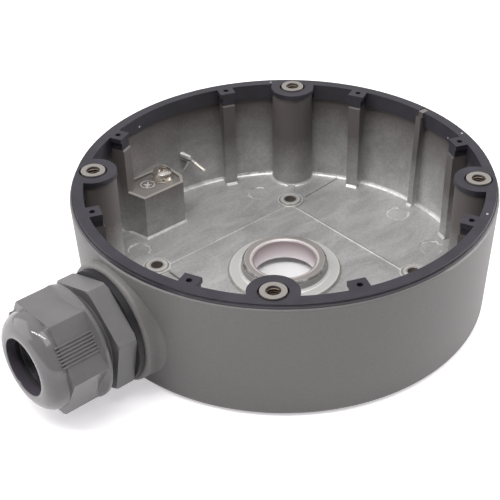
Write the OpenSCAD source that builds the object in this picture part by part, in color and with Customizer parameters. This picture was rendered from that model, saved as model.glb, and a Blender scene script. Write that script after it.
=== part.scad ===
// Round junction box for a dome camera: a deep die-cast dish with a rubber rim
// gasket, a ground terminal, a threaded conduit entry in the floor and a cable
// gland screwed into its side. The frame's origin is the centre of the base
// screw circle on the mounting plane, +Z is up and the gland points along -X.

/* [Housing casting] */
// Outside diameter at the open rim
rim_d = 156.6; // [150:0.2:170]
// Outside diameter at the base, smaller by the casting draft
base_d = 152.2; // [148:0.2:157]
// Height from the mounting plane to the rim
housing_h = 46.5; // [46:0.5:60]
// Wall thickness at the rim
wall_rim = 3.6; // [3:0.1:4.2]
// Wall thickness at the floor
wall_base = 3.7; // [3:0.1:4.2]
// Height of the inside floor above the mounting plane
floor_z = 5.3; // [4.8:0.1:7]
// Depth of the recess in the underside
recess_depth = 2.8; // [2:0.1:3.2]
// Width of the flat land round the underside
land_w = 10; // [6:0.5:14]
// Rounding of the outside edge at the base
base_round = 2.5; // [1:0.1:3.5]
// Rounding of the outside edge at the rim
rim_round = 0.7; // [0.3:0.1:1.5]
// Fillet between the wall and the floor
floor_fillet = 1.6; // [0.8:0.1:3]
// Fillet round the feet of columns and bosses on the floor
foot_fillet = 1.2; // [0.4:0.1:2]
// Sloped foot of the posts and the rib
foot_slope = 0.9; // [0.3:0.1:1.4]

/* [Camera screw bosses] */
// Distance of the camera screws' circle from the rim's outside
camera_inset = 7.5; // [6.8:0.1:9.3]
// Diameter of the boss columns at the rim
boss_d = 16.6; // [14:0.2:18]
// Growth of a column's diameter from rim to floor
boss_draft = 0.8; // [0:0.1:1.6]
// Diameter of the seat ring on top of each column
seat_d = 9; // [8:0.1:9.8]
// Height of the seat ring above the rim
seat_h = 2.4; // [2:0.1:3]
// Core diameter of the threaded camera screw holes
camera_core_d = 5.2; // [4:0.1:6]
// Depth of the camera screw holes
camera_hole_depth = 20; // [10:1:30]

/* [Wall posts and locating rib] */
// Width of the posts that carry the gasket tabs
post_w = 5; // [3.6:0.1:7]
// How far the posts stand in from the cavity's edge at the rim
post_depth = 6.9; // [6.7:0.1:8.7]
// Inward lean of a post from rim to floor
post_draft = 0.4; // [0:0.1:1.5]
// Chamfer on the inner top edge of a post
post_chamfer = 0.6; // [0.2:0.1:1]
// Thickness of the locating rib
rib_t = 2.6; // [2:0.1:4]
// How far the locating rib stands in from the wall at the floor
rib_foot_depth = 2.8; // [1.4:0.1:5.4]
// How far the locating rib stands in from the wall at the rim
rib_top_depth = 3.1; // [1.7:0.1:4.7]
// How far the rib's nib reaches in from the wall at the rim
nib_depth = 1.8; // [1.1:0.1:2.3]
// Length of the nib along the rib
nib_l = 3.1; // [2:0.1:3.6]
// Height of the rib's nib through the gasket
nib_h = 1.9; // [1:0.1:2.4]

/* [Floor] */
// Circle through the four base screw holes
base_pcd = 99.6; // [90:0.2:106]
// Diameter of the base screw holes
base_hole_d = 4.9; // [4:0.1:6]
// Diameter of the boss round each base screw hole
base_boss_d = 10.6; // [9:0.1:13]
// Diameter of the raised collar on each boss
base_collar_d = 8.2; // [7:0.1:8.8]
// Width of the low bridge from each boss to its camera screw column
bridge_w = 3; // [2:0.1:5]
// Height of that bridge above the plateau
bridge_h = 0.2; // [0.1:0.05:0.25]
// Diameter of the pads under the base screw holes
base_pad_d = 13; // [10:0.5:18]
// Side of the raised square plateau
plateau_side = 67.4; // [64:0.2:70]
// Height of the raised square plateau
plateau_h = 0.4; // [0.3:0.1:1.2]
// Width of the bead along the plateau's edge
bead_w = 1.1; // [0.8:0.1:2]
// Height of that bead above the plateau
bead_h = 0.3; // [0.2:0.05:0.8]
// Height of the base screw bosses above the plateau
base_boss_h = 0.3; // [0.2:0.1:1]
// Height of the collars above their bosses
base_collar_h = 0.4; // [0.2:0.1:1]
// Distance of the narrow die ridge's end from the wall
ridge_gap = 2; // [1:0.5:12]
// Width of the die ridge
ridge_w = 0.8; // [0.4:0.1:1.5]
// Height of the die ridge
ridge_h = 0.45; // [0.2:0.05:0.8]
// Diameter of the ejector pin marks
ejector_d = 9.4; // [6:0.2:12]
// Depth of the ejector pin marks
ejector_depth = 0.25; // [0.1:0.05:0.5]

/* [Rear conduit entry] */
// Core diameter of the conduit thread
conduit_core_d = 24.2; // [18:0.1:26]
// Outside diameter of the conduit spigot at its foot
spigot_d = 34.2; // [32:0.1:38]
// Growth of the spigot's diameter from top to foot
spigot_draft = 1.2; // [0:0.1:2]
// Rounding of the spigot's top edge
spigot_round = 1.3; // [0.3:0.1:1.6]
// Height of the spigot above the floor
spigot_h = 5.7; // [4:0.1:9]
// Diameter of the step round the spigot
spigot_step_d = 42.7; // [40:0.1:48]
// Height of the step above the plateau
spigot_step_h = 1.1; // [0.5:0.1:2]
// Fillet round the foot of the spigot
spigot_fillet = 0.8; // [0.3:0.1:1.5]
// Outside diameter of the thread's lead-in
lead_in_d = 26.2; // [25:0.1:28.4]
// Depth of the thread's lead-in
lead_in_depth = 0.5; // [0.3:0.1:1.5]

/* [Ground terminal] */
// Middle of the ground block along X
block_x = -16.5; // [-20:0.1:-14]
// Width of the ground block's front face
block_front_w = 19.3; // [17:0.1:22]
// Distance of the block's front face from the wall
block_depth = 20.2; // [18.4:0.1:22.4]
// Distance of the lip's rear edge from the wall
block_lip_gap = 4.2; // [3.4:0.1:6.4]
// Height of the block above the floor
block_h = 18; // [14:0.5:24]
// How far the left flank spreads towards the wall
block_left_flare = 2; // [1:0.1:3]
// Length of the slanted left flank from the front face
block_left_depth = 8.1; // [6:0.1:10]
// Length of the right front corner's chamfer from the front face
block_right_depth = 4.5; // [3:0.1:6]
// Sideways size of the right front corner's chamfer
block_right_chamfer = 2.9; // [1:0.1:4]
// Width of the raised lip on the block
lip_w = 1.3; // [0.8:0.1:2]
// Height of the raised lip
lip_h = 0.9; // [0.4:0.1:1.5]
// Ground screw's place along X
ground_x = -10.6; // [-12:0.1:-10.2]
// Distance of the ground screw behind the block's front face
ground_setback = 9; // [7.3:0.1:10.8]
// Ground screw's shank diameter
ground_screw_d = 4; // [3:0.1:5]
// Ground screw's length under the head
ground_screw_l = 10; // [6:0.5:12]
// Ground screw's head diameter
ground_head_d = 7.6; // [6:0.1:8.4]
// Ground screw's head height
ground_head_h = 2.7; // [2:0.1:3.4]
// Width of the cross recess in the head
recess_w = 4.4; // [3:0.1:5]
// Thickness of the recess's wings
recess_t = 0.95; // [0.6:0.05:1.3]
// Outside diameter of the spring washer
spring_washer_d = 7; // [6:0.1:8]
// Thickness of the spring washer
spring_washer_t = 1; // [0.6:0.1:1.4]
// Width of the cut through the spring washer
spring_split = 0.5; // [0.3:0.1:0.8]
// Radial gap between the washers and the ground screw
screw_gap = 0.15; // [0.1:0.05:0.3]
// Outside diameter of the flat washer
flat_washer_d = 8.8; // [8:0.1:9.4]
// Thickness of the flat washer
flat_washer_t = 0.8; // [0.5:0.1:1.2]

/* [Cord hook on the wall] */
// Thickness of the hook's arm
hook_arm_d = 3; // [2:0.1:4]
// Thickness of the hook's finger
hook_finger_d = 1.7; // [1:0.1:2]
// Height of the hook above the floor
hook_h = 17; // [12:0.5:22]
// Place of the hook's root along X
hook_x = 7.8; // [6:0.1:12]
// Length of the hook's thick arm from the wall
hook_arm_l = 4.9; // [4:0.1:9]
// Length of the hook's finger past the arm
hook_finger_l = 8.3; // [5:0.1:10]
// Sideways lean of the hook in degrees
hook_lean = 9; // [0:1:20]
// Downward slope of the hook's arm in degrees
hook_droop = 3; // [0:1:12]
// Downward slope of the hook's finger in degrees
finger_droop = 19; // [5:1:30]
// Height of the gusset under the hook
hook_gusset_h = 10; // [6:0.5:14]

/* [Rim gasket] */
// Width of the gasket's band
gasket_band_w = 4.3; // [4:0.1:5]
// Margin of the rim left bare outside the gasket
gasket_margin = 0.7; // [0.3:0.1:1.3]
// Thickness of the gasket on the rim
gasket_t = 2; // [1.5:0.1:2.2]
// Height of the ledge round the gasket's outside edge
gasket_ledge_h = 1; // [0.5:0.1:1.4]
// Width of that ledge
gasket_ledge_w = 0.5; // [0.3:0.1:1]
// Depth of the gasket's skirt below the rim
skirt_depth = 4.4; // [3:0.1:6]
// Diameter of the gasket's round ears over the bosses
ear_d = 17.6; // [16:0.1:19]
// Diameter of the holes in the ears
ear_hole_d = 10.4; // [10:0.1:11.5]
// How far the tabs reach below the rim, onto the posts
tab_drop = 3.2; // [1:0.1:4]
// Width of the gasket's tabs
tab_w = 6.4; // [5:0.1:8]
// Distance of the tabs' inner ends behind the posts' faces
tab_setback = 0.6; // [0:0.1:1.7]
// Distance of the holes in the tabs from the cavity's edge
tab_hole_inset = 3.2; // [2.7:0.1:3.7]
// Diameter of the holes in the tabs
tab_hole_d = 2.2; // [1.5:0.1:3]
// Clearance between the skirt and the casting
skirt_gap = 0.15; // [0.1:0.05:0.4]

/* [Gland entry boss] */
// Height of the gland's axis above the mounting plane
gland_z = 22.6; // [22.6:0.1:24]
// How far the boss's flat face stands out from the widest wall beside it
entry_stand = 2.4; // [1.4:0.1:5.8]
// Diameter of the boss
entry_d = 44; // [42.5:0.2:45]
// Rounding of the boss's front edge
entry_round = 1.4; // [0.5:0.1:2]
// Radius of the flare between boss and wall
entry_flare = 4.5; // [2:0.1:6]

/* [Cable gland] */
// Diameter of the gland's mounting thread
stem_d = 26.2; // [24:0.1:28]
// Radial gap between each outside thread and its tapped hole
thread_gap = 0.05; // [0.02:0.01:0.1]
// Length of the mounting thread under the flange
stem_l = 11; // [8:0.5:12]
// Thickness of the flat rubber washer under the flange
gland_washer_t = 2.3; // [1.5:0.1:3]
// Radial gap between that washer and the thread inside it
washer_gap = 0.3; // [0.1:0.05:0.6]
// Outside diameter of that washer
gland_washer_d = 40.6; // [38:0.2:42]
// Width across the flats of the gland's hexagon flange
flange_af = 36.4; // [34:0.1:38]
// Thickness of the hexagon flange
flange_t = 7.3; // [5:0.1:9]
// Chamfer on the flange's corners
flange_chamfer = 0.9; // [0.3:0.1:1.5]
// Turn of the flange's flats in degrees
flange_turn = -12; // [-30:1:30]
// Diameter of the nut's thread on the gland body
nut_thread_d = 31.2; // [30:0.1:31.6]
// Length of the nut's thread on the gland body
nut_thread_l = 11.5; // [10.5:0.5:12]
// Bore of the gland body
gland_bore_d = 21.4; // [18:0.1:22]
// Diameter of the pocket that guides the clamping cage
cage_pocket_d = 25.6; // [25.2:0.1:26]
// Depth of that pocket
cage_pocket_depth = 10; // [9:0.5:10.5]

/* [Clamping cage and seal] */
// Running gap round the cage in its pocket
cage_gap = 0.1; // [0.05:0.05:0.3]
// Wall thickness of the cage
cage_wall = 1.7; // [1.2:0.1:2]
// Free travel left under the cage
cage_float = 2.6; // [2.4:0.1:3]
// Length of the cage
cage_l = 14.9; // [12:0.1:15]
// Length of the cage's fingers
finger_l = 7.4; // [5:0.1:8]
// Number of fingers
finger_count = 10; // [6:1:12]
// Width of the slots between the fingers
finger_slot = 1.2; // [0.8:0.1:1.6]
// Inward taper of the fingers at their tips
finger_taper = 1; // [0.8:0.1:1.2]
// Bore of the cable seal
seal_bore_d = 14; // [10:0.5:16]
// Length of the cable seal, which ends a little past the cage's fingers
seal_l = 14.7; // [12:0.1:17.9]
// Depth of each of the two steps in the seal's open end
seal_step = 1.6; // [0.8:0.1:2]
// Distance of the seal's inner end from the cage's inner end
seal_setback = 1.2; // [0.5:0.1:2]
// Assembly gap between the seal and the cage
seal_gap = 0.15; // [0.1:0.05:0.3]

/* [Dome nut] */
// Open gap between the flange and the nut as supplied
nut_gap = 3.3; // [2.6:0.1:5]
// Radial running gap of the nut on its thread
nut_play = 0.06; // [0.02:0.01:0.1]
// Diameter of the round collar at the nut's inner end
collar_d = 41.2; // [40:0.1:43]
// Width of that collar
collar_w = 1.9; // [1:0.1:3]
// Width across the flats of the nut's hexagon
nut_af = 35.6; // [34:0.1:36.2]
// Length of the nut's hexagon
nut_hex_l = 12.8; // [10:0.1:15]
// Travel the nut still has when it is tightened
nut_travel = 2.25; // [1.5:0.05:2.3]
// Turn of the nut's flats in degrees
nut_turn = -26.6; // [-30:0.1:30]
// Chamfer on the corners of the nut's hexagon
nut_chamfer = 0.5; // [0.3:0.1:1.5]
// Length of the nut's dome past the hexagon
dome_l = 6.6; // [5:0.1:8]
// Diameter of the opening in the dome
dome_opening_d = 20.8; // [18:0.1:21.4]
// Length of the plain opening in front of the inner cone
mouth_land = 3.6; // [2.5:0.1:5]
// Rounding of the nut's opening
mouth_round = 1.3; // [0.5:0.1:2]
// Number of grip ribs on a ribbed flat
grip_count = 7; // [4:1:9]
// Spacing of the grip ribs
grip_pitch = 1.15; // [0.9:0.05:1.4]
// Height of the grip ribs
grip_h = 0.35; // [0.2:0.05:0.5]
// Length of the grip ribs, which run out onto the dome
grip_l = 13.9; // [8:0.1:14]

/* [Hidden] */

overlap = 0.5;          // how far joined solids reach into each other
through = 1;            // how far a cut runs past the surface it opens
round_fn = 96;          // facets shown on large round shapes
small_fn = 48;          // facets shown on small round shapes

rim_r = rim_d / 2;
base_r = base_d / 2;
cavity_rim_r = rim_r - wall_rim;
cavity_base_r = base_r - wall_base;
draft_angle = atan((rim_r - base_r) / housing_h);
boss_angles = [45, 135, 225, 315];
tab_angles = [for (i = [0:7]) 22.5 + 45 * i];
rib_angle = -1;
ejector_places = [[15.3, 59], [13, 124], [12.1, -27.5], [10.9, -2]];  // gap to wall and angle
ridge_x = 41.5;
ridge_y = 32.8;
ridge_turn = 5;
ridge_l = sqrt(pow(cavity_base_r, 2) - pow(ridge_y, 2)) - ridge_x - ridge_gap;
camera_r = rim_r - camera_inset;
post_r = cavity_rim_r - post_depth;
wall_mid_r = max(cavity_rim_r + wall_rim / 2, cavity_base_r + wall_base / 2);
nib_in_r = cavity_rim_r - nib_depth;
gasket_out_r = rim_r - gasket_margin;
gasket_in_r = gasket_out_r - gasket_band_w;
tab_in_r = post_r + tab_setback;
tab_hole_r = cavity_rim_r - tab_hole_inset;
base_hole_r = base_pcd / 2;
plateau_z = floor_z + plateau_h;
bead_ledge = 0.1;       // how far the bead stands in from the plateau's edge
entry_reach = 8;        // how far the gland's hole is cut past the wall into the dish
spigot_z = floor_z + spigot_h;
block_z = floor_z + block_h;
block_wall_y = cavity_r(block_z);
block_front_y = block_wall_y - block_depth;
block_lip_y = block_wall_y - block_lip_gap;
ground_y = block_front_y + ground_setback;
hook_z = floor_z + hook_h;
gasket_z = housing_h + gasket_t;
seat_z = housing_h + seat_h;

entry_wall_r = max(outside_r(gland_z + entry_d / 2), outside_r(gland_z - entry_d / 2));
entry_face = entry_wall_r + entry_stand;
washer_face = entry_face + gland_washer_t;
flange_face = washer_face + flange_t;
nut_face = flange_face + nut_gap;
hex_start = nut_face + collar_w;
dome_start = nut_face + nut_hex_l + collar_w;
nut_end = dome_start + dome_l;
thread_end = flange_face + nut_thread_l;
pocket_floor = thread_end - cage_pocket_depth;
cage_start = pocket_floor + cage_float;
cage_end = cage_start + cage_l;
cage_r = cage_pocket_d / 2 - cage_gap;
tip_inset = finger_taper * 0.6;
finger_start = cage_end - finger_l;
seal_start = cage_start + seal_setback;
nut_bore_r = nut_thread_d / 2 + nut_play;
cone_start = thread_end + nut_travel + 0.4;
cone_end = nut_end - mouth_land;

// Radius of the cavity's drafted wall at a height
function cavity_r(z) = cavity_base_r + (cavity_rim_r - cavity_base_r) * (z - floor_z) / (housing_h - floor_z);
// Radius of the outside wall at a height
function outside_r(z) = base_r + (rim_r - base_r) * z / housing_h;

// Turns a shape built up along Z so that it grows outwards along the gland's axis
module along_gland() {
    translate([0, 0, gland_z]) rotate([0, -90, 0]) children();
}

// Quarter-round filler for the corner between an upright face and a level one
module fillet_2d(f) {
    difference() {
        translate([-overlap, -overlap]) square(f + overlap);
        translate([f, f]) circle(f, $fn = small_fn);
    }
}

// Fillet round the foot of a round column
module foot(r, f) {
    rotate_extrude($fn = round_fn) translate([r, 0]) fillet_2d(f);
}

// Solid outline of the casting: a drafted disc with a rounded base and rim edge
module outer_body() {
    c = cos(draft_angle);
    s = sin(draft_angle);
    base_cx = outside_r(base_round) - base_round / c;
    rim_cx = outside_r(housing_h - rim_round) - rim_round / c;
    rotate_extrude($fn = 180) {
        polygon([[0, 0], [base_cx, 0],
                 [base_cx + base_round * c, base_round - base_round * s],
                 [rim_cx + rim_round * c, housing_h - rim_round - rim_round * s],
                 [rim_cx, housing_h], [0, housing_h]]);
        translate([base_cx, base_round]) circle(base_round, $fn = small_fn);
        translate([rim_cx, housing_h - rim_round]) circle(rim_round, $fn = small_fn);
    }
}

// Space inside the dish, with its floor fillet
module cavity() {
    rotate_extrude($fn = 180) difference() {
        polygon([[0, floor_z], [cavity_base_r, floor_z],
                 [cavity_r(housing_h + through), housing_h + through], [0, housing_h + through]]);
        translate([cavity_base_r, floor_z]) mirror([1, 0]) fillet_2d(floor_fillet);
    }
}

// Round boss that flares out of the wall and takes the gland
module entry_boss() {
    r = entry_d / 2;
    wall = outside_r(gland_z);
    root = sqrt(wall * wall - pow(r + entry_flare, 2)) - overlap;
    depth = 6;              // how far the boss reaches into the wall
    trim = 0.3;             // margin kept from the level faces above and below
    top = housing_h - rim_round - trim;
    intersection() {
        along_gland() rotate_extrude($fn = 144) difference() {
            union() {
                translate([0, root - depth]) square([r + entry_flare, depth]);
                square([r - entry_round, entry_face]);
                square([r, entry_face - entry_round]);
                translate([r - entry_round, entry_face - entry_round])
                    circle(entry_round, $fn = small_fn);
                translate([r, root]) fillet_2d(entry_flare);
            }
            square([r + entry_flare + 1, root - depth]);
        }
        translate([-2 * rim_d, -rim_d, trim]) cube([2 * rim_d, 2 * rim_d, top - trim]);
    }
}

// Keeps what stands inside the dish within the thickness of its wall
module within_wall() {
    intersection() {
        rotate_extrude($fn = 180)
            polygon([[0, floor_z - overlap], [outside_r(floor_z) - wall_base / 2, floor_z - overlap],
                     [rim_r - wall_rim / 2, housing_h], [0, housing_h]]);
        union() children();
    }
}

module boss_columns() {
    for (a = boss_angles) rotate(a) translate([camera_r, 0, floor_z]) {
        translate([0, 0, -overlap])
            cylinder(h = housing_h - floor_z + overlap, r1 = (boss_d + boss_draft) / 2,
                     r2 = boss_d / 2, $fn = round_fn);
        foot((boss_d + boss_draft) / 2, foot_fillet);
    }
}

module post() {
    length = wall_mid_r - post_r;
    rise = housing_h - tab_drop - floor_z;
    rotate([90, 0, 0]) linear_extrude(height = post_w, center = true)
        polygon([[-post_draft - foot_slope, -overlap], [length, -overlap], [length, rise],
                 [post_chamfer, rise], [0, rise - post_chamfer], [-post_draft, foot_slope],
                 [-post_draft - foot_slope, 0]]);
}

module locating_rib() {
    rise = housing_h - floor_z;
    foot_r = cavity_base_r - rib_foot_depth;
    rotate(rib_angle) translate([0, 0, floor_z]) rotate([90, 0, 0])
        linear_extrude(height = rib_t, center = true)
            polygon([[foot_r - foot_slope, -overlap], [wall_mid_r, -overlap], [wall_mid_r, rise],
                     [cavity_rim_r - rib_top_depth, rise], [foot_r, foot_slope],
                     [foot_r - foot_slope, 0]]);
}

module nib() {
    nib_w = rib_t - 0.4;
    rotate(rib_angle) translate([nib_in_r, -nib_w / 2, housing_h - overlap])
        cube([nib_l, nib_w, nib_h + overlap]);
}

// Flat outline of the ground block, drawn in by a margin for its raised lip
module block_outline(margin) {
    left = block_x - block_front_w / 2;
    right = block_x + block_front_w / 2;
    rear = margin > 0 ? block_lip_y - margin : wall_mid_r;
    shoulder_l = block_front_y + block_left_depth;
    shoulder_r = block_front_y + block_right_depth;
    polygon([[left + margin * 0.8, block_front_y + margin],
             [right - margin * 0.55, block_front_y + margin],
             [right + block_right_chamfer - margin, shoulder_r + margin * 0.3],
             [right + block_right_chamfer - margin, rear],
             [left - block_left_flare + margin, rear],
             [left - block_left_flare + margin, shoulder_l + margin * 0.1]]);
}

module ground_block() {
    translate([0, 0, floor_z - overlap])
        linear_extrude(height = block_h + overlap) block_outline(0);
    translate([0, 0, block_z - overlap]) linear_extrude(height = lip_h + overlap)
        difference() {
            block_outline(0);
            block_outline(lip_w);
            translate([block_x - block_front_w, block_lip_y]) square([2 * block_front_w, rim_r]);
        }
}

// Cast hook beside the block: a gusseted arm with a thin finger
module wall_hook() {
    root = cavity_r(hook_z);
    root_depth = 2;         // how far the hook's root reaches into the wall
    gusset_t = hook_arm_d * 0.6;
    translate([hook_x, root, hook_z]) rotate([90 + hook_droop, 0, hook_lean]) {
        translate([0, 0, -root_depth])
            cylinder(h = hook_arm_l + root_depth, d = hook_arm_d, $fn = small_fn);
        translate([0, 0, hook_arm_l]) sphere(d = hook_arm_d, $fn = small_fn);
        translate([0, 0, hook_arm_l]) rotate([finger_droop - hook_droop, 0, 0]) {
            cylinder(h = hook_finger_l, d = hook_finger_d, $fn = 24);
            translate([0, 0, hook_finger_l]) sphere(d = hook_finger_d, $fn = 24);
        }
        rotate([0, -90, 0]) linear_extrude(height = gusset_t, center = true)
            polygon([[-root_depth, 0], [hook_arm_l, 0], [0, -hook_gusset_h],
                     [-root_depth, -hook_gusset_h]]);
    }
}

// Square plateau whose corners run into the four base screw bosses, with a bead
// along its edge
module plateau() {
    bead_top = bead_w * 0.35;
    translate([0, 0, floor_z + plateau_h / 2 - overlap / 2])
        cube([plateau_side, plateau_side, plateau_h + overlap], center = true);
    for (a = [0:90:270]) rotate(a) translate([plateau_side / 2 - bead_w / 2, 0, plateau_z])
        rotate([90, 0, 0]) linear_extrude(height = plateau_side - 2 * bead_w, center = true)
            polygon([[-bead_w / 2, -overlap], [bead_w / 2 - bead_ledge, -overlap],
                     [bead_w / 2 - bead_ledge, 0], [bead_top / 2, bead_h],
                     [-bead_top / 2, bead_h], [-bead_w / 2, 0]]);
}

module floor_detail() {
    plateau();
    for (a = boss_angles) rotate(a) {
        translate([base_hole_r, 0, floor_z - overlap]) {
            cylinder(h = plateau_h + base_boss_h + overlap, d = base_boss_d, $fn = small_fn);
            cylinder(h = plateau_h + base_boss_h + base_collar_h + overlap, d = base_collar_d,
                     $fn = small_fn);
        }
        translate([base_hole_r, -bridge_w / 2, floor_z - overlap])
            cube([camera_r - boss_d / 2 - base_hole_r, bridge_w, plateau_h + bridge_h + overlap]);
    }
    translate([0, 0, floor_z]) {
        translate([0, 0, -overlap])
            cylinder(h = plateau_h + spigot_step_h + overlap, d = spigot_step_d, $fn = round_fn);
        translate([0, 0, plateau_h + spigot_step_h]) foot(spigot_d / 2, spigot_fillet);
        rotate_extrude($fn = round_fn) spigot_profile();
    }
}

// Half section of the spigot: a drafted wall with a rounded top edge
module spigot_profile() {
    foot_r = spigot_d / 2;
    top_r = foot_r - spigot_draft / 2;
    shoulder = spigot_h - spigot_round;
    polygon([[0, -overlap], [foot_r, -overlap], [foot_r, plateau_h + spigot_step_h],
             [top_r, shoulder], [top_r - spigot_round, spigot_h], [0, spigot_h]]);
    translate([top_r - spigot_round, shoulder]) circle(spigot_round, $fn = small_fn);
}

// Narrow ridge left across the floor by the casting die
module die_ridge() {
    translate([ridge_x, ridge_y, floor_z - overlap]) rotate(ridge_turn)
        cube([ridge_l, ridge_w, ridge_h + overlap]);
}

module ejector_marks() {
    for (m = ejector_places)
        rotate(m[1]) translate([cavity_base_r - m[0], 0, floor_z - ejector_depth])
            cylinder(h = 4, d = ejector_d, $fn = small_fn);
}

module underside_recess() {
    translate([0, 0, -through]) difference() {
        cylinder(h = recess_depth + through, r = base_r - land_w, $fn = 144);
        for (a = boss_angles) rotate(a) translate([base_hole_r, 0, -through])
            cylinder(h = recess_depth + 3 * through, d = base_pad_d, $fn = small_fn);
    }
}

module housing() {
    color("#737171") difference() {
        union() {
            difference() {
                union() {
                    outer_body();
                    entry_boss();
                }
                cavity();
                underside_recess();
                ejector_marks();
            }
            within_wall() {
                boss_columns();
                for (a = tab_angles) rotate(a) translate([post_r, 0, floor_z]) post();
                locating_rib();
                ground_block();
                wall_hook();
            }
            floor_detail();
            die_ridge();
            nib();
            for (a = boss_angles) rotate(a) translate([camera_r, 0, housing_h - overlap])
                cylinder(h = seat_h + overlap, d = seat_d, $fn = small_fn);
        }
        for (a = boss_angles) rotate(a) {
            translate([camera_r, 0, seat_z - camera_hole_depth])
                cylinder(h = camera_hole_depth + through, d = camera_core_d, $fn = small_fn);
            translate([base_hole_r, 0, -through])
                cylinder(h = plateau_z + base_boss_h + base_collar_h + 2 * through,
                         d = base_hole_d, $fn = small_fn);
        }
        cylinder(h = 2 * spigot_z, d = conduit_core_d, center = true, $fn = round_fn);
        translate([0, 0, spigot_z - lead_in_depth])
            cylinder(h = lead_in_depth * 2, d1 = conduit_core_d,
                     d2 = 2 * lead_in_d - conduit_core_d, $fn = round_fn);
        along_gland() translate([0, 0, cavity_base_r - entry_reach])
            cylinder(h = entry_face - cavity_base_r + entry_reach + through,
                     d = stem_d + 2 * thread_gap, $fn = round_fn);
        translate([ground_x, ground_y, block_z - ground_screw_l])
            cylinder(h = ground_screw_l + through, d = ground_screw_d + 2 * thread_gap,
                     $fn = small_fn);
    }
}

// Rubber gasket: a band on the rim with a skirt inside the wall, ears over the
// bosses and tabs over the posts
module rim_gasket() {
    skirt_r = min(cavity_r(housing_h - skirt_depth), cavity_rim_r) - skirt_gap;
    root_r = gasket_in_r + overlap;
    ledge_r = gasket_out_r - gasket_ledge_w;
    color("#59575c") difference() {
        union() {
            rotate_extrude($fn = 180) {
                translate([gasket_in_r, housing_h])
                    square([ledge_r - gasket_in_r, gasket_t]);
                translate([gasket_in_r, housing_h])
                    square([gasket_out_r - gasket_in_r, gasket_t - gasket_ledge_h]);
                translate([gasket_in_r, housing_h - skirt_depth])
                    square([skirt_r - gasket_in_r, skirt_depth + overlap]);
            }
            intersection() {
                union() {
                    for (a = boss_angles) rotate(a) translate([camera_r, 0, housing_h])
                        cylinder(h = gasket_t, d = ear_d, $fn = round_fn);
                    for (a = tab_angles) rotate(a) translate([tab_in_r, 0, housing_h]) {
                        translate([0, -tab_w / 2, 0])
                            cube([root_r - tab_in_r, tab_w, gasket_t]);
                        translate([0, -post_w / 2, -tab_drop])
                            cube([root_r - tab_in_r, post_w, tab_drop + overlap]);
                    }
                }
                translate([0, 0, housing_h - skirt_depth])
                    cylinder(h = gasket_t + skirt_depth, r = ledge_r - 0.1, $fn = 180);
            }
        }
        for (a = boss_angles) rotate(a) translate([camera_r, 0, 0]) {
            cylinder(h = gasket_z + through, d = ear_hole_d, $fn = small_fn);
            cylinder(h = housing_h, d = boss_d + boss_draft + 2 * skirt_gap, $fn = round_fn);
        }
        for (a = tab_angles) rotate(a) {
            translate([tab_hole_r, 0, 0])
                cylinder(h = gasket_z + through, d = tab_hole_d, $fn = 24);
            translate([post_r - post_draft, -post_w / 2 - skirt_gap, 0])
                cube([rim_r - post_r, post_w + 2 * skirt_gap, housing_h - tab_drop]);
        }
        rotate(rib_angle) translate([tab_in_r, -rib_t / 2 - skirt_gap, 0]) {
            cube([rim_r - tab_in_r, rib_t + 2 * skirt_gap, housing_h]);
            cube([nib_in_r + nib_l + skirt_gap - tab_in_r, rib_t + 2 * skirt_gap, gasket_z + through]);
        }
    }
}

module gland_washer() {
    color("#35333a") along_gland() translate([0, 0, entry_face]) difference() {
        cylinder(h = gland_washer_t, d = gland_washer_d, $fn = round_fn);
        translate([0, 0, -through])
            cylinder(h = gland_washer_t + 2 * through, d = stem_d + 2 * washer_gap, $fn = round_fn);
    }
}

// Hexagon with its corners turned down to a chamfer at both ends
module hexagon_bar(af, length, corner) {
    intersection() {
        cylinder(h = length, d = af / cos(30), $fn = 6);
        rotate_extrude($fn = round_fn) {
            r = af / 2 / cos(30);
            polygon([[0, 0], [r - corner, 0], [r, corner * 0.6], [r, length - corner * 0.6],
                     [r - corner, length], [0, length]]);
        }
    }
}

module gland_body() {
    color("#767576") along_gland() difference() {
        union() {
            translate([0, 0, washer_face - stem_l])
                cylinder(h = stem_l + overlap, d = stem_d, $fn = round_fn);
            translate([0, 0, washer_face]) rotate(flange_turn)
                hexagon_bar(flange_af, flange_t, flange_chamfer);
            translate([0, 0, flange_face - overlap])
                cylinder(h = nut_thread_l + overlap, d = nut_thread_d, $fn = round_fn);
        }
        translate([0, 0, washer_face - stem_l - through])
            cylinder(h = stem_l + flange_t + nut_thread_l + 2 * through, d = gland_bore_d,
                     $fn = round_fn);
        translate([0, 0, pocket_floor])
            cylinder(h = cage_pocket_depth + through, d = cage_pocket_d, $fn = round_fn);
    }
}

// Clamping cage: a sleeve that slides in the gland body and ends in fingers
module clamp_cage() {
    r = cage_r;
    color("#4b4a4e") along_gland() difference() {
        rotate_extrude($fn = round_fn)
            polygon([[r - cage_wall, cage_start], [r, cage_start], [r, finger_start + 1],
                     [r - finger_taper, cage_end], [r - cage_wall - tip_inset, cage_end],
                     [r - cage_wall, finger_start + 1]]);
        for (i = [0:finger_count - 1]) rotate(i * 360 / finger_count)
            translate([0, -finger_slot / 2, finger_start])
                cube([r + 1, finger_slot, finger_l + through]);
    }
}

// Cable seal: a rubber sleeve whose open end steps down to its bore
module cable_seal() {
    r = cage_r - cage_wall - tip_inset - seal_gap;
    bore_r = seal_bore_d / 2;
    edge = 0.6;             // chamfer on the seal's ends
    ring = (r - edge - bore_r) / 3;
    slope = ring * 0.45;    // how far each step's wall leans
    color("#2b2a2d") along_gland() translate([0, 0, seal_start]) rotate_extrude($fn = round_fn)
        polygon([[bore_r, 0], [r - edge, 0], [r, edge], [r, seal_l - edge], [r - edge, seal_l],
                 [bore_r + 2 * ring + slope, seal_l], [bore_r + 2 * ring, seal_l - seal_step],
                 [bore_r + ring + slope, seal_l - seal_step],
                 [bore_r + ring, seal_l - 2 * seal_step], [bore_r, seal_l - 2 * seal_step]]);
}

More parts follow.
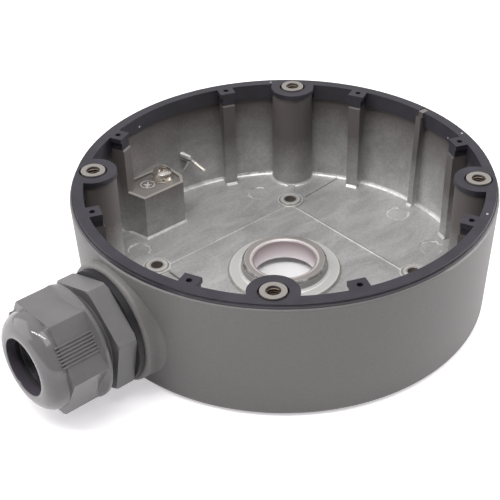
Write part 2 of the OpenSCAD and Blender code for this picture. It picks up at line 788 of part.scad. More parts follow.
// Cap nut: round collar, hexagon, ribbed flats and a rounded dome
module dome_nut() {
    hex_r = nut_af / 2;
    mouth_r = dome_opening_d / 2;
    collar_r = collar_d / 2;
    edge = 0.4;             // small chamfer on the collar's inner end
    dome_step = 0.2;        // how far the dome stands inside the flats
    color("#828081") along_gland() difference() {
        union() {
            rotate_extrude($fn = round_fn) {
                polygon([[0, nut_face], [collar_r - edge, nut_face], [collar_r, nut_face + edge],
                         [collar_r, nut_face + collar_w * 0.75],
                         [hex_r, hex_start + collar_w * 0.4], [0, hex_start + collar_w]]);
                dome_profile(hex_r - dome_step, mouth_r);
            }
            translate([0, 0, nut_face + overlap]) rotate(nut_turn)
                hexagon_bar(nut_af, collar_w + nut_hex_l - overlap, nut_chamfer);
            for (side = [0:2]) rotate(nut_turn + 90 + 120 * side)
                grip_ribs(hex_r);
        }
        rotate_extrude($fn = round_fn)
            polygon([[0, nut_face - through], [nut_bore_r, nut_face - through],
                     [nut_bore_r, cone_start], [mouth_r, cone_end], [mouth_r, nut_end + through],
                     [0, nut_end + through]]);
    }
}

// Half section of the dome, from the hexagon's flats in to the mouth
module dome_profile(start_r, mouth_r) {
    land = 0.6;             // short straight length before the dome curves in
    root = 3;               // how far the dome reaches back into the hexagon
    bulge = dome_l - land;
    translate([0, dome_start - root]) square([start_r, root + land]);
    intersection() {
        translate([start_r - bulge, dome_start + land]) circle(bulge, $fn = 72);
        translate([0, dome_start]) square([start_r + 1, dome_l + 1]);
    }
    translate([0, dome_start]) square([start_r - bulge, dome_l - mouth_round]);
    translate([mouth_r + mouth_round, nut_end - mouth_round]) circle(mouth_round, $fn = small_fn);
    translate([mouth_r + mouth_round, dome_start])
        square([start_r - bulge - mouth_r - mouth_round, dome_l]);
}

// Fine ribs that run along the nut on one flat
module grip_ribs(flat_r) {
    grip_w = grip_pitch / 2;
    grip_start = hex_start + 0.2;
    for (i = [0:grip_count - 1])
        translate([flat_r - overlap, (i - (grip_count - 1) / 2) * grip_pitch - grip_w / 2, grip_start])
            cube([overlap + grip_h, grip_w, grip_l]);
}

module ground_screw() {
    stack = flat_washer_t + spring_washer_t;
    shank = ground_screw_l - 1 + stack;
    crown_r = ground_head_d * 1.1;
    seat = block_z + stack;
    color("#cfc8bd") translate([ground_x, ground_y, seat]) difference() {
        union() {
            translate([0, 0, -shank])
                cylinder(h = shank + overlap, d = ground_screw_d, $fn = small_fn);
            intersection() {
                cylinder(h = ground_head_h, d = ground_head_d, $fn = small_fn);
                translate([0, 0, ground_head_h - crown_r]) sphere(r = crown_r, $fn = round_fn);
            }
        }
        for (a = [20, 110]) rotate(a) translate([0, 0, ground_head_h])
            cube([recess_w, recess_t, ground_head_h * 1.1], center = true);
    }
}

module spring_washer() {
    split_angle = 250;      // where the ring is cut through
    color("#c4bdb2") translate([ground_x, ground_y, block_z + flat_washer_t]) difference() {
        cylinder(h = spring_washer_t, d = spring_washer_d, $fn = small_fn);
        translate([0, 0, -through])
            cylinder(h = spring_washer_t + 2 * through, d = ground_screw_d + 2 * screw_gap, $fn = small_fn);
        rotate(split_angle) translate([0, -spring_split / 2, -through]) rotate([25, 0, 0])
            cube([spring_washer_d, spring_split, 4 * spring_washer_t]);
    }
}

module flat_washer() {
    color("#c9c3b8") translate([ground_x, ground_y, block_z]) difference() {
        cylinder(h = flat_washer_t, d = flat_washer_d, $fn = small_fn);
        translate([0, 0, -through])
            cylinder(h = flat_washer_t + 2 * through, d = ground_screw_d + 2 * screw_gap, $fn = small_fn);
    }
}

housing();
rim_gasket();
gland_washer();
gland_body();
clamp_cage();
cable_seal();
dome_nut();
ground_screw();
spring_washer();
flat_washer();
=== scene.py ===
# %% [markdown]
# # A die-cast camera junction box
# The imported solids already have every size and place. This lesson dresses them: cast
# aluminium under grey powder coat, moulded rubber, grey polyamide and plated steel. It adds
# the screw threads, the earth symbol and a small fillet, then lights the box softly.
# The first cell loads the solids. They are never moved, so the finish is all that changes.

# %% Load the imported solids
import math

import bmesh
import bpy
from mathutils import Matrix, Vector


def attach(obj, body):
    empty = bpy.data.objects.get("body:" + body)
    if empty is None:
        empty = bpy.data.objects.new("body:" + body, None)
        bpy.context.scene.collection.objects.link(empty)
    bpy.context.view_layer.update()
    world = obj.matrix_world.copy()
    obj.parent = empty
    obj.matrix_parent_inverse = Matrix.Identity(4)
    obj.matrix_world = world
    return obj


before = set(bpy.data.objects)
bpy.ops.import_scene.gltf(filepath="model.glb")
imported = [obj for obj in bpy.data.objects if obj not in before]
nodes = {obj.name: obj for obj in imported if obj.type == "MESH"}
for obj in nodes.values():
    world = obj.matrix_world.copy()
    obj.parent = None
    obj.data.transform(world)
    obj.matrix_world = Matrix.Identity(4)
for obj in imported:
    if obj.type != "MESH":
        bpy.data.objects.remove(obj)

MM = 0.001
scene = bpy.context.scene
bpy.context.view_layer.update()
print("solids:", sorted(nodes))

# %% [markdown]
# ## The camera first
# A camera that sees the box exactly as the picture does makes every later comparison easy.
# It could be placed by eye, but a solved one is better: circles such as the rim and the screw
# circles give its distance, tilt and focal length. The two shifts slide the picture on the
# sensor, because the picture was cropped off centre.

# %% Camera
PICTURE = 500                       # the picture's width and height in pixels
FOCAL_PIXELS = 1161.2
CENTRE_PIXELS = (272.48, 227.98)    # where the lens looks straight ahead
camera_data = bpy.data.cameras.new("product_camera")
camera_data.sensor_width = 36
camera_data.lens = FOCAL_PIXELS / PICTURE * camera_data.sensor_width
camera_data.shift_x = (PICTURE / 2 - CENTRE_PIXELS[0]) / PICTURE
camera_data.shift_y = (CENTRE_PIXELS[1] - PICTURE / 2) / PICTURE
camera = bpy.data.objects.new("product_camera", camera_data)
scene.collection.objects.link(camera)
camera.location = (-0.24416, -0.27040, 0.27041)
camera.rotation_euler = [math.radians(a) for a in (56.0385, 0.5687, -41.7567)]
scene.camera = camera
print("lens", round(camera_data.lens, 2), "shift", camera_data.shift_x, camera_data.shift_y)

# %% [markdown]
# ## Colour and node helpers
# Colour pickers give sRGB, while shaders add up light in linear values, so one function turns
# a hex colour into linear numbers. A second one adds a node, sets its values and links the
# sockets it is given, which keeps each material short enough to read in one go.

# %% Helpers for colours and nodes
def linear(hex_colour):
    channels = [int(hex_colour[i:i + 2], 16) / 255 for i in (1, 3, 5)]
    return tuple(c / 12.92 if c <= 0.04045 else ((c + 0.055) / 1.055) ** 2.4
                 for c in channels) + (1.0,)


def add_node(tree, kind, inputs=None, **settings):
    node = tree.nodes.new(kind)
    for name, value in settings.items():
        setattr(node, name, value)
    for key, value in (inputs or {}).items():
        if isinstance(value, bpy.types.NodeSocket):
            tree.links.new(value, node.inputs[key])
        else:
            node.inputs[key].default_value = value
    return node


def new_material(name):
    material = bpy.data.materials.new(name)
    material.use_nodes = True
    material.node_tree.nodes.clear()
    return material


def per_mm(size):
    """Noise scale whose grain is about this many millimetres on Object coordinates."""
    return 1 / (size * MM)


print("mid grey:", [round(c, 3) for c in linear("#808080")])

# %% [markdown]
# ## Powder coat over die-cast aluminium
# The casting is aluminium squirted into a steel die. Its outside is sprayed with grey powder
# and baked, which leaves a soft, slightly dimpled skin. Inside, only stray powder lands: thick
# near the rim, thin and patchy low on the walls, and almost none on the floor, which stays
# bare, bright and marked by the metal's flow. Two materials with a seam between them would
# look cut out, so one shader blends coat and metal by the place on the casting. The first
# function measures that place: height, distance from the axis, slope, and what lies inside.

# %% Places on the casting
RIM_Z, FLOOR_Z = 46.5 * MM, 5.3 * MM
WALL_LOW, WALL_HIGH = 74.3 * MM, 76.4 * MM    # radius of the wall's middle at floor and rim
UNDERSIDE_Z = 1.5 * MM              # everything below this is outside
BASE_SCREW = 35.21 * MM             # how far the base screws stand from both middle lines
HOOK_TIP = (9.8 * MM, 60.8 * MM, 19.3 * MM)


def casting_places(tree):
    coordinates = add_node(tree, "ShaderNodeTexCoord")
    place = coordinates.outputs["Object"]
    height = add_node(tree, "ShaderNodeSeparateXYZ", {"Vector": place}).outputs["Z"]
    upward = add_node(tree, "ShaderNodeSeparateXYZ", {"Vector": coordinates.outputs["Normal"]})
    flat = add_node(tree, "ShaderNodeVectorMath", {0: place, 1: (1, 1, 0)}, operation="MULTIPLY")
    radius = add_node(tree, "ShaderNodeVectorMath", {0: flat.outputs[0]}, operation="LENGTH")
    wall_middle = add_node(tree, "ShaderNodeMapRange", {
        "Value": height, "From Min": FLOOR_Z, "From Max": RIM_Z,
        "To Min": WALL_LOW, "To Max": WALL_HIGH}, clamp=False)
    within = add_node(tree, "ShaderNodeMath", {
        0: radius.outputs["Value"], 1: wall_middle.outputs[0]}, operation="LESS_THAN")
    above = add_node(tree, "ShaderNodeMath", {0: height, 1: UNDERSIDE_Z},
                     operation="GREATER_THAN")
    inside = add_node(tree, "ShaderNodeMath", {
        0: within.outputs[0], 1: above.outputs[0]}, operation="MULTIPLY")
    stand_in = add_node(tree, "ShaderNodeMath", {
        0: wall_middle.outputs[0], 1: radius.outputs["Value"]}, operation="SUBTRACT")
    quarter = add_node(tree, "ShaderNodeVectorMath", {0: flat.outputs[0]}, operation="ABSOLUTE")
    from_screw = add_node(tree, "ShaderNodeVectorMath", {
        0: quarter.outputs[0], 1: (BASE_SCREW, BASE_SCREW, 0)}, operation="DISTANCE")
    sides = add_node(tree, "ShaderNodeSeparateXYZ", {"Vector": quarter.outputs[0]})
    square = add_node(tree, "ShaderNodeMath", {
        0: sides.outputs["X"], 1: sides.outputs["Y"]}, operation="MAXIMUM")
    from_hook_tip = add_node(tree, "ShaderNodeVectorMath", {0: place, 1: HOOK_TIP},
                             operation="DISTANCE")
    return {"place": place, "flat": flat.outputs[0], "height": height,
            "upward": upward.outputs["Z"], "radius": radius.outputs["Value"],
            "inside": inside.outputs[0], "stand_in": stand_in.outputs[0],
            "from_screw": from_screw.outputs["Value"], "square": square.outputs[0],
            "from_hook_tip": from_hook_tip.outputs["Value"]}


print("base screws", round(BASE_SCREW * math.sqrt(8) / MM, 1), "mm across their circle")

# %% [markdown]
# Stray powder is a sum of three things: how near the rim a point is, a speckle with the size
# of the powder's clots, and broad cloudy patches. Steep faces and high ledges keep it, while
# level faces low down were in the shadow of the spray.

# %% Stray powder
CLOT_MM, PATCH_MM = 1.0, 14         # size of the powder's clots and of its cloudy patches
SPIGOT_CLEAR = 20 * MM              # no stray powder on the spigot, which lies within this


def stray_powder(tree, at):
    speckle = add_node(tree, "ShaderNodeTexNoise", {
        "Vector": at["place"], "Scale": per_mm(CLOT_MM), "Detail": 4.0, "Roughness": 0.7})
    patches = add_node(tree, "ShaderNodeTexNoise", {
        "Vector": at["place"], "Scale": per_mm(PATCH_MM), "Detail": 3.0, "Roughness": 0.5})
    powder = add_node(tree, "ShaderNodeMapRange", {
        "Value": at["height"], "From Min": 10 * MM, "From Max": 40 * MM,
        "To Min": 0.05, "To Max": 1.05})
    for noise, weight in ((speckle, 0.36), (patches, 0.4)):
        uneven = add_node(tree, "ShaderNodeMath", {
            0: noise.outputs["Fac"], 1: weight, 2: -weight / 2}, operation="MULTIPLY_ADD")
        powder = add_node(tree, "ShaderNodeMath", {
            0: powder.outputs[0], 1: uneven.outputs[0]}, operation="ADD")
    in_the_spray = add_node(tree, "ShaderNodeMapRange", {
        "Value": at["stand_in"], "From Min": 2.3 * MM, "From Max": 5 * MM,
        "To Min": 0.0, "To Max": 0.35})
    powder = add_node(tree, "ShaderNodeMath", {
        0: powder.outputs[0], 1: in_the_spray.outputs[0]}, operation="ADD", use_clamp=True)
    steep = add_node(tree, "ShaderNodeMapRange", {
        "Value": at["upward"], "From Min": 0.15, "From Max": 0.6, "To Min": 1.0, "To Max": 0.0},
        interpolation_type="SMOOTHSTEP")
    ledge = add_node(tree, "ShaderNodeMapRange", {
        "Value": at["height"], "From Min": 18 * MM, "From Max": 26 * MM, "To Max": 0.8})
    catches = add_node(tree, "ShaderNodeMath", {
        0: steep.outputs[0], 1: ledge.outputs[0]}, operation="MAXIMUM")
    past_spigot = add_node(tree, "ShaderNodeMath", {0: at["radius"], 1: SPIGOT_CLEAR},
                           operation="GREATER_THAN")
    kept = add_node(tree, "ShaderNodeMath", {
        0: catches.outputs[0], 1: past_spigot.outputs[0]}, operation="MULTIPLY")
    coat_inside = add_node(tree, "ShaderNodeMath", {
        0: powder.outputs[0], 1: kept.outputs[0]}, operation="MULTIPLY")
    outside = add_node(tree, "ShaderNodeMath", {0: 1.0, 1: at["inside"]}, operation="SUBTRACT")
    coat = add_node(tree, "ShaderNodeMath", {
        0: coat_inside.outputs[0], 1: outside.outputs[0]}, operation="MAXIMUM", use_clamp=True)
    return coat.outputs[0], speckle.outputs["Fac"]


print("powder clots of", CLOT_MM, "mm in patches of", PATCH_MM, "mm")

# %% [markdown]
# A few places differ from both. Most are painted light: highlights on fillets, edges, the earth
# symbol and the cord hook, and painted shade in lines, a groove and on the ledges under the
# gasket. Others are worked: the conduit's lip and the seats of the camera screws, left by the
# cutter. The screw holes are painted a darker brown. Each is a zone between limits, such as a
# band of heights and a band of slopes. The limits are measured on a point that is nudged a little
# by noise, so that no zone ends in a drawn line.

# %% Worked places and painted light
# each row: colour, metallic, strength, limits of each measure (mm, or the slope's cosine)
WORKED_AND_PAINTED_LIGHT = [
    # painted highlights on the fillets at the foot of the wall and of the posts, then a dark line
    # under the spigot's lip, partly a burr and partly painted shade
    ("#f8f7f5", 0.3, 1.0, {"height": (0, 9), "upward": (0.12, 0.93), "radius": (70.6, 90)}),
    ("#f1efed", 0.4, 0.55, {"height": (0, 9), "upward": (0.12, 0.93), "radius": (46, 70.6)}),
    ("#5d534d", 0.3, 0.8, {"height": (9.6, 11.2), "radius": (15.5, 16.4)}),
    # painted shade along the edge of the floor's plateau
    ("#6f6760", 0.4, 0.75, {"height": (5.2, 5.66), "square": (33.5, 34.2), "radius": (0, 44.5)}),
    # spigot: its wall painted darker as shade, a painted shade line round its step, the step, and
    # painted highlights on the step's edge and in the inner corner
    ("#8b8a89", 0.5, 0.6, {"height": (7.4, 9.8), "radius": (15.8, 18.0)}),
    ("#7d7872", 0.4, 0.6, {"height": (5.6, 5.9), "radius": (21.5, 22.1)}),
    ("#e6e5e2", 0.5, 0.8, {"height": (6.5, 7.6), "radius": (17.2, 21.2)}),
    ("#f4f1ec", 0.5, 0.8, {"height": (5.8, 6.9), "radius": (20.9, 21.9)}),
    ("#fbf9f6", 0.4, 0.8, {"height": (6.7, 7.8), "radius": (16.8, 17.8)}),
    # the spigot's lip, then a painted highlight on the lead-in of its bore
    ("#aca39f", 0.6, 0.8, {"height": (10.4, 12), "radius": (12.6, 15.2)}),
    ("#f1e9e8", 0.3, 0.75, {"height": (10.3, 12), "radius": (12.7, 13.4)}),
    # base screw bosses: painted highlights on the foot and the top, painted shade in the groove,
    # and the hole painted a darker brown
    ("#f0ece6", 0.4, 0.7, {"height": (5.5, 6.1), "from_screw": (4.9, 5.5)}),
    ("#8a837c", 0.4, 0.6, {"height": (5.8, 6.2), "from_screw": (4.2, 4.8)}),
    ("#ece8e3", 0.4, 0.6, {"height": (6.1, 6.8), "from_screw": (3.2, 4.3)}),
    ("#85786d", 0.3, 0.8, {"height": (0, 6.1), "from_screw": (0, 3.1)}),
    # ground block: its top, then painted highlights on the earth symbol on it and on its raised
    # lip
    ("#837e7b", 0.2, 0.9, {"height": (23.1, 23.42), "radius": (50, 76), "upward": (0.8, 1.1)}),
    ("#fbf6f0", 0.3, 1.0, {"height": (23.44, 23.8), "radius": (50, 76), "upward": (0.8, 1.1)}),
    ("#b4ada6", 0.4, 0.9, {"height": (24.0, 24.4), "radius": (50, 76), "upward": (0.5, 1.1)}),
    # painted shade on the ledges under the gasket, then the seats of the camera screws
    ("#4c4645", 0.1, 0.9, {"height": (36, 46.8), "upward": (0.3, 1.1)}),
    ("#a8a29d", 0.6, 0.85, {"height": (48.5, 49.5), "radius": (60, 80)}),
    # cord hook: a painted highlight on its lower edge, and its tip, bare metal with a painted
    # highlight
    ("#f4efe9", 0.3, 0.9, {"from_hook_tip": (5.4, 16), "upward": (-0.95, -0.2)}),
    ("#e6ded5", 0.6, 0.9, {"from_hook_tip": (0, 5.4)}),
]
UNEVEN_PLACES = 3                   # the first of them, painted highlights and painted shade, are stronger in some spots than others


def zone(tree, at, limits):
    """1 on the part of the casting where every named measure lies between its limits."""
    mask = None
    for measure, (low, high) in limits.items():
        unit = 1 if measure == "upward" else MM
        band = add_node(tree, "ShaderNodeMath", {
            0: at[measure], 1: (low + high) / 2 * unit, 2: (high - low) / 2 * unit},
            operation="COMPARE").outputs[0]
        mask = band if mask is None else add_node(
            tree, "ShaderNodeMath", {0: mask, 1: band}, operation="MULTIPLY").outputs[0]
    return mask


print(len(WORKED_AND_PAINTED_LIGHT), "worked places")

# %% [markdown]
# Ejector pins push a finished casting out of its die, and each leaves a shallow round mark in the
# floor. The solid has the marks, and the shader adds the bright rings on their edges, partly
# scratches and partly painted highlight: a ring whose distance from the middle is bent by one
# noise, and which another noise breaks.

# %% Ejector marks
EJECTORS = [(57.1, 59), (59.4, 124), (60.3, -27.5), (61.5, -2)]    # mm from the axis, degrees
EJECTOR_RADIUS, EJECTOR_LINE = 4.4 * MM, 0.36 * MM
EJECTOR_WANDER = 3.4 * MM           # how far the line strays from a true circle, in all
EJECTOR_FLOOR = 6 * MM              # the scratches lie lower than this


def ejector_marks(tree, at):
    wobble = add_node(tree, "ShaderNodeTexNoise", {
        "Vector": at["place"], "Scale": per_mm(2.0), "Detail": 4.0, "Roughness": 0.75})
    shift = add_node(tree, "ShaderNodeMath", {
        0: wobble.outputs["Fac"], 1: EJECTOR_WANDER, 2: -EJECTOR_WANDER / 2},
        operation="MULTIPLY_ADD")
    rings = None
    for distance, angle in EJECTORS:
        centre = (distance * MM * math.cos(math.radians(angle)),
                  distance * MM * math.sin(math.radians(angle)), 0)
        gap = add_node(tree, "ShaderNodeVectorMath", {0: at["flat"], 1: centre},
                       operation="DISTANCE")
        uneven_gap = add_node(tree, "ShaderNodeMath", {
            0: gap.outputs["Value"], 1: shift.outputs[0]}, operation="ADD")
        ring = add_node(tree, "ShaderNodeMath", {
            0: uneven_gap.outputs[0], 1: EJECTOR_RADIUS, 2: EJECTOR_LINE},
            operation="COMPARE").outputs[0]
        rings = ring if rings is None else add_node(
            tree, "ShaderNodeMath", {0: rings, 1: ring}, operation="MAXIMUM").outputs[0]
    low = add_node(tree, "ShaderNodeMath", {0: at["height"], 1: EJECTOR_FLOOR},
                   operation="LESS_THAN")
    gaps = add_node(tree, "ShaderNodeTexNoise", {
        "Vector": at["place"], "Scale": per_mm(7), "Detail": 1.0})
    broken = add_node(tree, "ShaderNodeMapRange", {
        "Value": gaps.outputs["Fac"], "From Min": 0.45, "From Max": 0.56})
    broken_low = add_node(tree, "ShaderNodeMath", {0: broken.outputs[0], 1: low.outputs[0]},
                          operation="MULTIPLY")
    return add_node(tree, "ShaderNodeMath", {0: rings, 1: broken_low.outputs[0]},
                    operation="MULTIPLY").outputs[0]


print(len(EJECTORS), "ejector marks")

# %% [markdown]
# Bare die-cast metal isn't even. It froze while it ran, which left broad streaks under a fine
# grain, so one noise is stretched along the flow and a finer one is added to it. The coat needs
# less: a speckle of two near greys, and a darker copy of that grey inside the box, which is
# painted shade.

# %% Bare metal and coat
STREAK_TURN = math.radians(-35)     # the way the metal ran as the die filled
STREAK_MM, GRAIN_MM = 11, 1.1


def bare_metal(tree, at):
    streaked = add_node(tree, "ShaderNodeMapping", {
        "Vector": at["place"], "Rotation": (0, 0, STREAK_TURN), "Scale": (0.35, 1.0, 1.0)})
    flow = add_node(tree, "ShaderNodeTexNoise", {
        "Vector": streaked.outputs[0], "Scale": per_mm(STREAK_MM), "Detail": 7.0,
        "Roughness": 0.6, "Distortion": 1.2})
    grain = add_node(tree, "ShaderNodeTexNoise", {
        "Vector": at["place"], "Scale": per_mm(GRAIN_MM), "Detail": 3.0, "Roughness": 0.6})
    mottle = add_node(tree, "ShaderNodeMath", {
        0: grain.outputs["Fac"], 1: 0.5, 2: flow.outputs["Fac"]}, operation="MULTIPLY_ADD")
    metal = add_node(tree, "ShaderNodeValToRGB", {"Fac": mottle.outputs[0]})
    metal.color_ramp.elements[0].position, metal.color_ramp.elements[1].position = 0.5, 1.0
    metal.color_ramp.elements[0].color = linear("#a9a8a8")
    metal.color_ramp.elements[1].color = linear("#d6d5d4")
    return metal.outputs["Color"], flow.outputs["Fac"], grain.outputs["Fac"]


def coat_colour_shaded_inside(tree, at, speckle):
    paint = add_node(tree, "ShaderNodeValToRGB", {"Fac": speckle})
    paint.color_ramp.elements[0].position, paint.color_ramp.elements[1].position = 0.3, 0.7
    paint.color_ramp.elements[0].color = linear("#706d6d")
    paint.color_ramp.elements[1].color = linear("#777473")
    # inside the box the coat is painted darker, as shade
    return add_node(tree, "ShaderNodeMix", {
        0: at["inside"], 6: paint.outputs["Color"], 7: linear("#625c5b")},
        data_type="RGBA").outputs[2]


print("streaks of", STREAK_MM, "mm over a grain of", GRAIN_MM, "mm")

# %% [markdown]
# The worked places and the painted light are laid over metal and coat one after the other, each
# as far as its zone and its strength allow. The painted highlights on the fillets and the painted
# shade line under the spigot's lip are stronger in some spots than in others. The conduit's bore
# is one place more: it is painted pale at the bottom, where light comes in from below.

# %% Worked tones and painted light
NUDGE = 0.5 * MM                    # how far a zone's edge wanders, in all
BORE = {"height": (1, 10.6), "radius": (0, 13.0)}
BORE_PALE_Z, BORE_DARK_Z = 3 * MM, 9.5 * MM


def nudged(tree, at):
    noise = add_node(tree, "ShaderNodeTexNoise", {
        "Vector": at["place"], "Scale": per_mm(0.9), "Detail": 2.0, "Roughness": 0.7})
    shift = add_node(tree, "ShaderNodeMath", {
        0: noise.outputs["Fac"], 1: NUDGE, 2: -NUDGE / 2}, operation="MULTIPLY_ADD")
    moved = dict(at)
    for measure in ("radius", "from_screw", "from_hook_tip"):
        moved[measure] = add_node(tree, "ShaderNodeMath", {
            0: at[measure], 1: shift.outputs[0]}, operation="ADD").outputs[0]
    return moved


def bore_tone(tree, at):
    depth = add_node(tree, "ShaderNodeMapRange", {
        "Value": at["height"], "From Min": BORE_PALE_Z, "From Max": BORE_DARK_Z})
    return add_node(tree, "ShaderNodeMix", {
        0: depth.outputs[0], 6: linear("#fbf3f6"), 7: linear("#ab979b")},
        data_type="RGBA").outputs[2]


def worked_and_painted_light_tones(tree, at, colour, metallic):
    ragged = nudged(tree, at)
    # this noise makes the painted highlights and painted shade of the first places stronger in
    # some spots
    painted_light_weight = add_node(tree, "ShaderNodeTexNoise", {
        "Vector": at["place"], "Scale": per_mm(5), "Detail": 4.0, "Roughness": 0.7})
    uneven_painted_light = add_node(tree, "ShaderNodeMapRange", {
        "Value": painted_light_weight.outputs["Fac"], "From Min": 0.38, "From Max": 0.56,
        "To Min": 0.25, "To Max": 1.0})
    places = [(linear(tone), metal_share, strength, zone(tree, ragged, limits))
              for tone, metal_share, strength, limits in WORKED_AND_PAINTED_LIGHT]
    # painted highlights, with scratches, on the edges of the ejector marks
    places.append((linear("#f8f7f5"), 0.4, 0.75, ejector_marks(tree, at)))
    places.append((bore_tone(tree, at), 0.3, 0.9, zone(tree, ragged, BORE)))
    for index, (tone, metal_share, strength, mask) in enumerate(places):
        factors = [strength, at["inside"]] + [uneven_painted_light.outputs[0]] * (index < UNEVEN_PLACES)
        share = mask
        for factor in factors:
            share = add_node(tree, "ShaderNodeMath", {
                0: share, 1: factor}, operation="MULTIPLY").outputs[0]
        colour = add_node(tree, "ShaderNodeMix", {0: share, 6: colour, 7: tone},
                          data_type="RGBA").outputs[2]
        metallic = add_node(tree, "ShaderNodeMix", {0: share, 2: metallic, 3: metal_share},
                            data_type="FLOAT").outputs[0]
    return colour, metallic


print("the bore's zone:", BORE)

# %% [markdown]
# The material itself then only has to mix: metal and coat by the stray powder, the worked places
# and painted light over both, and a roughness and a relief that follow the same coat. A bevel
# softens the edges, which are never sharp on a casting, and the skin's dimples are a bump on top
# of it.

# %% Casting material
def powder_coated_casting():
    material = new_material("grey_powder_coated_die_cast_aluminium")
    tree = material.node_tree
    at = casting_places(tree)
    coat, speckle = stray_powder(tree, at)
    bare, flow, grain = bare_metal(tree, at)
    colour = add_node(tree, "ShaderNodeMix", {
        0: coat, 6: bare, 7: coat_colour_shaded_inside(tree, at, speckle)}, data_type="RGBA").outputs[2]
    metallic = add_node(tree, "ShaderNodeMapRange", {
        "Value": coat, "To Min": 0.5, "To Max": 0.0}).outputs[0]
    colour, metallic = worked_and_painted_light_tones(tree, at, colour, metallic)
    bare_rough = add_node(tree, "ShaderNodeMapRange", {
        "Value": flow, "From Min": 0.3, "From Max": 0.7, "To Min": 0.34, "To Max": 0.46})
    roughness = add_node(tree, "ShaderNodeMix", {0: coat, 2: bare_rough.outputs[0], 3: 0.5},
                         data_type="FLOAT")
    edges = add_node(tree, "ShaderNodeBevel", {"Radius": 0.25 * MM}, samples=6)
    relief = add_node(tree, "ShaderNodeMix", {0: coat, 2: grain, 3: speckle},
                      data_type="FLOAT")
    dimples = add_node(tree, "ShaderNodeBump", {
        "Strength": 0.35, "Distance": 0.05 * MM, "Height": relief.outputs[0],
        "Normal": edges.outputs[0]})
    shader = add_node(tree, "ShaderNodeBsdfPrincipled", {
        "Base Color": colour, "Metallic": metallic,
        "Roughness": roughness.outputs[0], "Normal": dimples.outputs[0]})
    add_node(tree, "ShaderNodeOutputMaterial", {"Surface": shader.outputs[0]})
    return material


casting = powder_coated_casting()
print(casting.name, len(casting.node_tree.nodes), "nodes")

# %% [markdown]
# ## Rubber and polyamide
# The gasket is moulded rubber: dark, matt, and lighter only where its flat top mirrors the
# sky of the studio at a low angle. The gland's parts are moulded polyamide, mid grey, with a
# satin skin on the body and a smoother one on the nut. Both kinds are plain plastics to a
# shader: no metal, a little gloss, and a faint mottle so that no face is one flat colour.
# Two marks come first. The nut's opening is painted dark, as shade, in a zone round the gland's
# axis. Dust lies on the gasket, as specks in a few of a pattern's cells.

# %% Painted shade in the nut's opening, and dust
GLAND_Z = 22.6 * MM                 # height of the gland's axis
SHADE_EDGE_MM = 0.4                 # width over which the painted shade in the nut's opening fades
DUST_MM, DUST_SHARE = 6, 0.07       # size of a dust cell, and of the speck in it
DUST_FREE = 0.6                     # share of the cells that have no speck


def painted_shade_in_opening(tree, place, colour, radius_mm):
    from_axis = add_node(tree, "ShaderNodeVectorMath", {0: place, 1: (0, 0, -GLAND_Z)},
                         operation="ADD")
    across = add_node(tree, "ShaderNodeVectorMath", {0: from_axis.outputs[0], 1: (0, 1, 1)},
                      operation="MULTIPLY")
    radius = add_node(tree, "ShaderNodeVectorMath", {0: across.outputs[0]}, operation="LENGTH")
    painted_light_weight = add_node(tree, "ShaderNodeMapRange", {
        "Value": radius.outputs["Value"], "From Min": (radius_mm - SHADE_EDGE_MM) * MM,
        "From Max": radius_mm * MM, "To Min": 1.0, "To Max": 0.0})
    # the nut's opening is painted dark here, as shade
    return add_node(tree, "ShaderNodeMix", {
        0: painted_light_weight.outputs[0], 6: colour, 7: linear("#433b4a")}, data_type="RGBA").outputs[2]


def dust_specks(tree, place, colour):
    cells = add_node(tree, "ShaderNodeTexVoronoi", {"Vector": place, "Scale": per_mm(DUST_MM)})
    near_middle = add_node(tree, "ShaderNodeMath", {0: cells.outputs["Distance"], 1: DUST_SHARE},
                           operation="LESS_THAN")
    chance = add_node(tree, "ShaderNodeSeparateXYZ", {"Vector": cells.outputs["Color"]})
    few = add_node(tree, "ShaderNodeMath", {0: chance.outputs["X"], 1: DUST_FREE},
                   operation="GREATER_THAN")
    speck = add_node(tree, "ShaderNodeMath", {0: near_middle.outputs[0], 1: few.outputs[0]},
                     operation="MULTIPLY")
    return add_node(tree, "ShaderNodeMix", {
        0: speck.outputs[0], 6: colour, 7: linear("#c9c7cb")}, data_type="RGBA").outputs[2]


print("gland axis", round(GLAND_Z / MM, 1), "mm up, dust cells", DUST_MM, "mm")

# %% [markdown]
# The stub between flange and nut is threaded. Its grooves are too fine to be worth faces, so
# they are a relief. A thread is a wave along the axis whose start moves with the turn round
# it, which is the angle plus the distance over the pitch.

# %% Thread relief
THREAD_PITCH = 1.5 * MM
FLANGE_FACE_X = -90.4 * MM          # the flange's outer face, where the stub begins


def nut_thread_relief(tree, place, normal):
    axes = add_node(tree, "ShaderNodeSeparateXYZ", {"Vector": place})
    rise = add_node(tree, "ShaderNodeMath", {
        0: axes.outputs["Z"], 1: GLAND_Z}, operation="SUBTRACT")
    turn = add_node(tree, "ShaderNodeMath", {
        0: rise.outputs[0], 1: axes.outputs["Y"]}, operation="ARCTAN2")
    turns = add_node(tree, "ShaderNodeMath", {
        0: turn.outputs[0], 1: 1 / math.tau}, operation="MULTIPLY")
    along = add_node(tree, "ShaderNodeMath", {
        0: axes.outputs["X"], 1: 1 / THREAD_PITCH, 2: turns.outputs[0]},
        operation="MULTIPLY_ADD")
    wave = add_node(tree, "ShaderNodeMath", {0: along.outputs[0], 1: 0.5},
                    operation="PINGPONG")
    past_flange = add_node(tree, "ShaderNodeMath", {
        0: axes.outputs["X"], 1: FLANGE_FACE_X}, operation="LESS_THAN")
    groove = add_node(tree, "ShaderNodeMath", {
        0: wave.outputs[0], 1: past_flange.outputs[0]}, operation="MULTIPLY")
    return add_node(tree, "ShaderNodeBump", {
        "Strength": 1.0, "Distance": 1.2 * MM, "Height": groove.outputs[0],
        "Normal": normal}).outputs[0]


print("thread pitch", round(THREAD_PITCH / MM, 2), "mm")

# %% [markdown]
# The skin is one function for all six mouldings, because rubber and polyamide differ only in
# their greys, their gloss and how deep the mould's texture is.

# %% Moulded skin
SKIN_MM = 0.5                       # grain of the mould's texture


